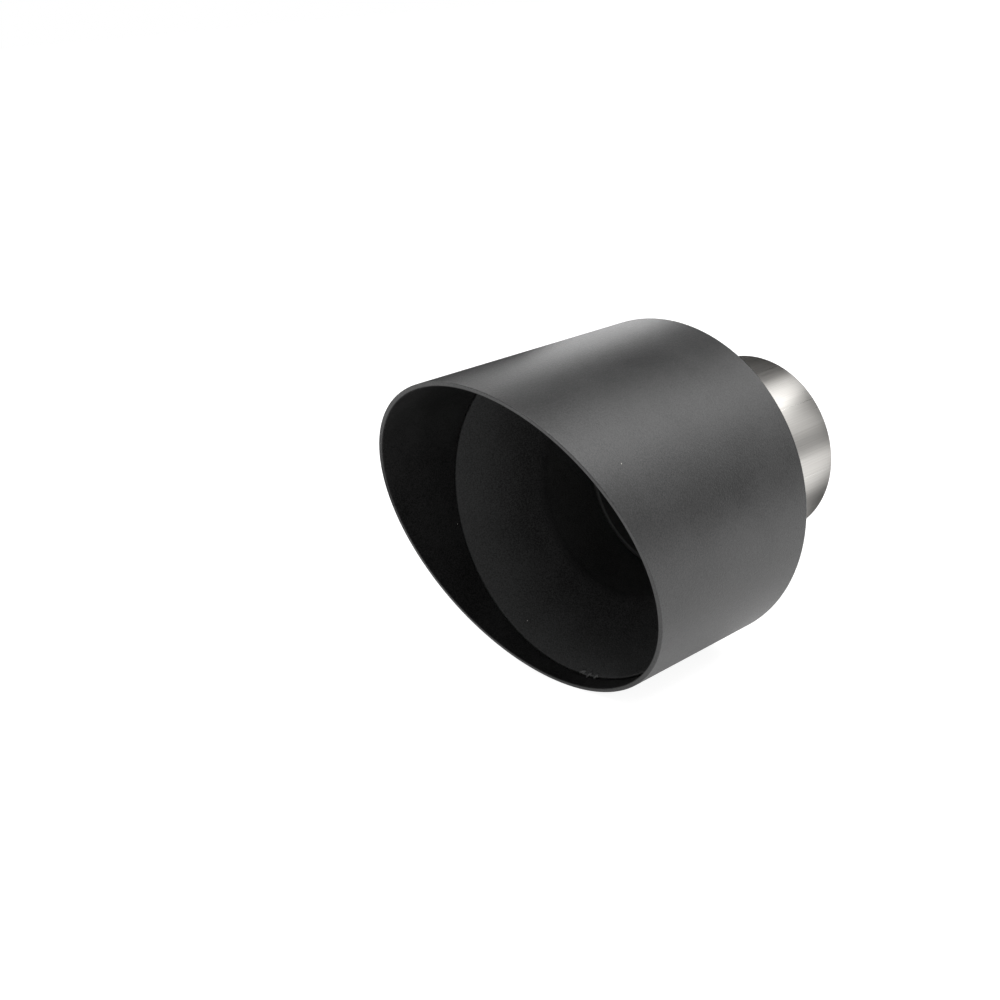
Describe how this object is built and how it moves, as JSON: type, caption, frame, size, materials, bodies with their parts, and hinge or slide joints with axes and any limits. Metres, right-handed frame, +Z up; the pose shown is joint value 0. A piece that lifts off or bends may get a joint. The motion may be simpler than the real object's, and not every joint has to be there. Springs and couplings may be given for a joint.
{
  "type": "exhaust tip",
  "caption": "Round exhaust tailpipe tip with a slash-cut mouth, a recessed inner dish that narrows to a throat, and a plain slip-on inlet pipe at the rear.",
  "frame": {"origin": "centre of the inlet pipe's open rear end, where the tailpipe enters", "axes": "+Y along the tip's axis towards the car (the mouth faces -Y), +Z up on the side where the shell is longest, +X to the right seen from the mouth"},
  "size_m": [0.1142, 0.149, 0.1142],
  "materials": {
    "shell_coat": "satin-matte heat-resistant black coat on stainless steel sheet",
    "inner_coat": "matte heat-resistant black coat on pressed stainless steel sheet",
    "bare_steel": "bare stainless steel tube with fine lengthwise and turned scratches",
    "coated_weld": "weld bead under the same black coat",
    "bare_weld": "bare rippled weld bead, slightly darkened by heat"
  },
  "bodies": {
    "root": {"outer_shell": "shell_coat", "inner_dish": "inner_coat", "inlet_pipe": "bare_steel", "front_tack": "coated_weld", "seam_weld": "coated_weld", "pipe_weld": "bare_weld"}
  },
  "joints": []
}
